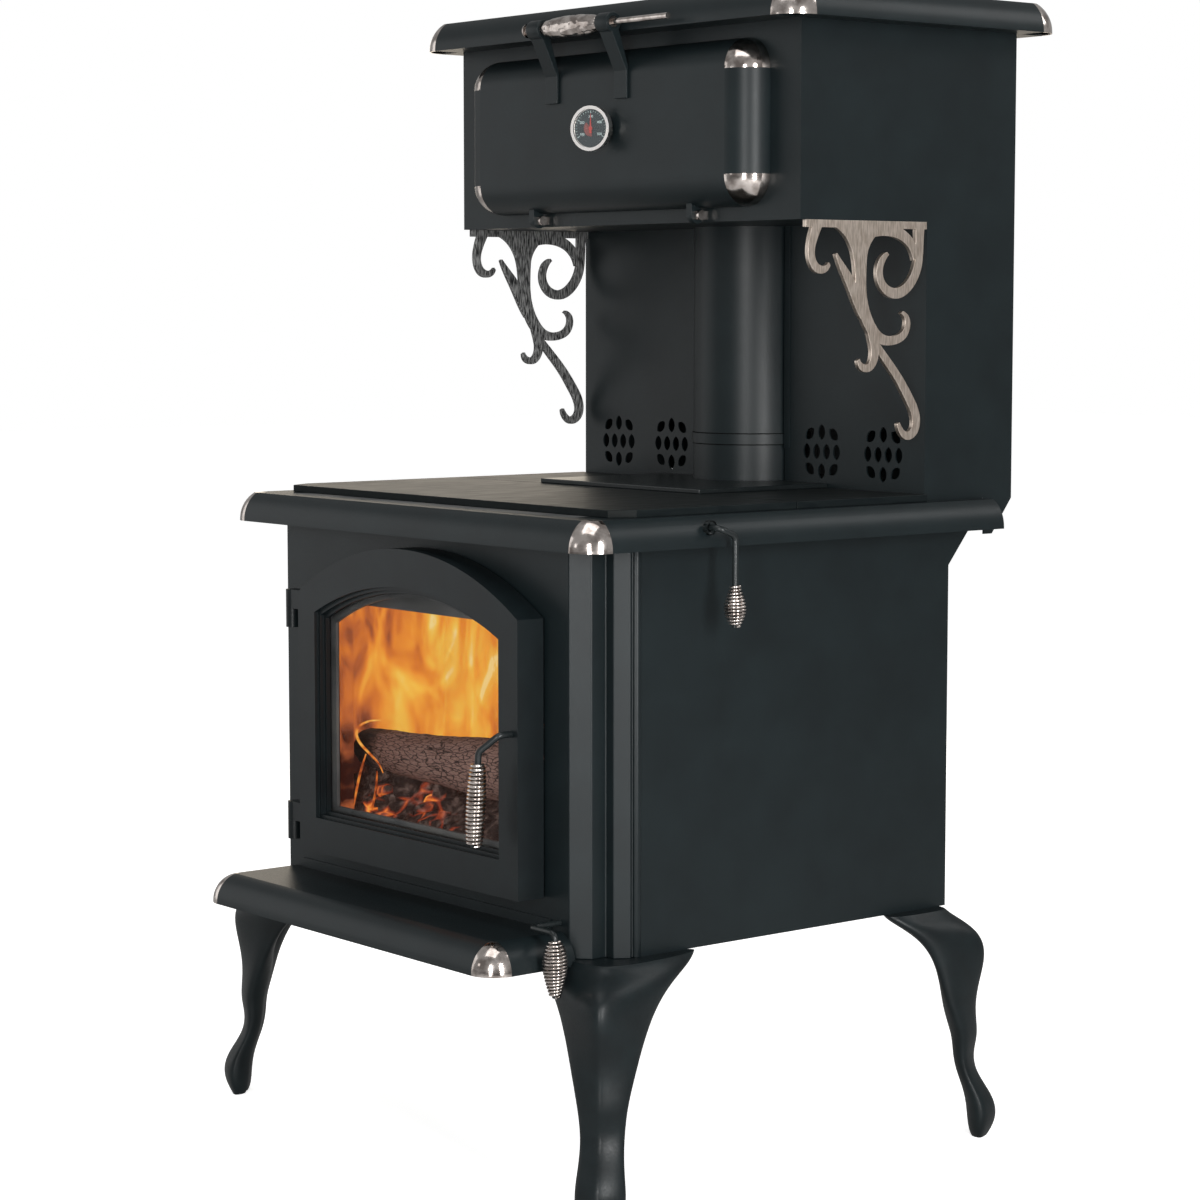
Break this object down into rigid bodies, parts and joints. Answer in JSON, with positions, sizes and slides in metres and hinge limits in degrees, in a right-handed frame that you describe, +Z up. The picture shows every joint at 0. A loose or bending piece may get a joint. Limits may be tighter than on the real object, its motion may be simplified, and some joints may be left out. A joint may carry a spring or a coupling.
{
  "type": "wood stove",
  "caption": "Free-standing wood cook-stove with a glazed fire door, ash shelf, flat cooktop, flue pipe and a warming hood with a drop-down door, on cabriole legs.",
  "frame": {"origin": "floor level, at the centre of the stove's footprint box", "axes": "+Z up, -Y out of the front with the fire door, +X to the right as the stove is faced"},
  "size_m": [0.8121, 0.853, 1.474],
  "materials": {
    "black_paint": "satin charcoal stove paint",
    "black_casting": "matte charcoal stove paint on a casting",
    "cooktop_iron": "satin polished plate",
    "firebox_steel": "heat-greyed plate",
    "firebrick": "rough fired clay",
    "door_glass": "clear ceramic glass",
    "gasket_rope": "woven glass rope",
    "rod_steel": "black rod",
    "nickel": "polished nickel plate",
    "bracket_casting": "satin nickel on a casting",
    "needle_paint": "matte red"
  },
  "bodies": {
    "stove": {"front_plate": "black_paint", "corner_post_left": "black_paint", "corner_post_right": "black_paint", "side_panel_left": "black_paint", "side_panel_right": "black_paint", "rear_shield": "black_paint", "bottom_shield": "black_paint", "rear_gussets": "black_paint", "firebox_shell": "firebox_steel", "firebricks": "firebrick", "secondary_air_tubes": "firebox_steel", "baffle_plate": "firebox_steel", "airwash_deflector": "firebox_steel", "fire_door_hinges": "black_casting", "ash_shelf": "black_paint", "ash_shelf_caps": "nickel", "cooktop_trim_front": "black_paint", "cooktop_trim_sides": "black_paint", "cooktop_trim_caps": "nickel", "cooktop_front_plate": "cooktop_iron", "cooktop_rear_plate": "cooktop_iron", "flue_base_plate": "cooktop_iron", "flue_pipe": "black_paint", "hood_side_left": "black_paint", "hood_side_right": "black_paint", "hood_back": "black_paint", "hood_floor": "black_paint", "hood_front_frame": "black_paint", "hood_top": "black_paint", "column_panel_left": "black_paint", "column_panel_right": "black_paint", "cornice_front": "black_paint", "cornice_rear": "black_paint", "cornice_sides": "black_paint", "cornice_caps": "nickel", "scroll_bracket_left": "bracket_casting", "scroll_bracket_right": "bracket_casting", "warming_door_hinge_pins": "nickel", "leg_front_left": "black_casting", "leg_front_right": "black_casting", "leg_rear_left": "black_casting", "leg_rear_right": "black_casting"},
    "fire_door": {"fire_door_frame": "black_casting", "fire_door_glass": "door_glass", "fire_door_glass_retainer": "firebox_steel", "fire_door_gasket": "gasket_rope"},
    "door_latch": {"fire_door_latch": "rod_steel", "fire_door_grip": "nickel"},
    "air_control": {"air_lever": "rod_steel", "air_lever_grip": "nickel"},
    "damper": {"damper_lever": "rod_steel", "damper_lever_grip": "nickel"},
    "warming_door": {"warming_door": "black_paint", "warming_door_caps": "nickel", "warming_door_hinge_hooks": "black_paint", "warming_door_handle_straps": "black_paint", "warming_door_handle_bar": "nickel", "thermometer_case": "nickel"},
    "needle": {"thermometer_needle": "needle_paint"}
  },
  "joints": [
    {"name": "fire_door_hinge", "type": "hinge", "parent": "stove", "child": "fire_door", "pos_m": [-0.25, -0.3215, 0.5], "axis": [0, 0, -1], "range_deg": [0, 110]},
    {"name": "fire_door_latch_turn", "type": "hinge", "parent": "fire_door", "child": "door_latch", "pos_m": [0.238, -0.36, 0.547], "axis": [0, -1, 0], "range_deg": [0, 90]},
    {"name": "air_control_slide", "type": "slide", "parent": "stove", "child": "air_control", "axis": [0, -1, 0], "range_m": [0, 0.04]},
    {"name": "damper_turn", "type": "hinge", "parent": "stove", "child": "damper", "pos_m": [0.37, -0.1575, 0.785], "axis": [1, 0, 0], "range_deg": [0, 80]},
    {"name": "warming_door_hinge", "type": "hinge", "parent": "stove", "child": "warming_door", "pos_m": [0, 0.0025, 1.149], "axis": [1, 0, 0], "range_deg": [0, 90]},
    {"name": "thermometer_needle_turn", "type": "hinge", "parent": "warming_door", "child": "needle", "pos_m": [0.01684, -0.04809, 1.259], "axis": [0.342, -0.9397, 0], "range_deg": [-120, 120]}
  ]
}
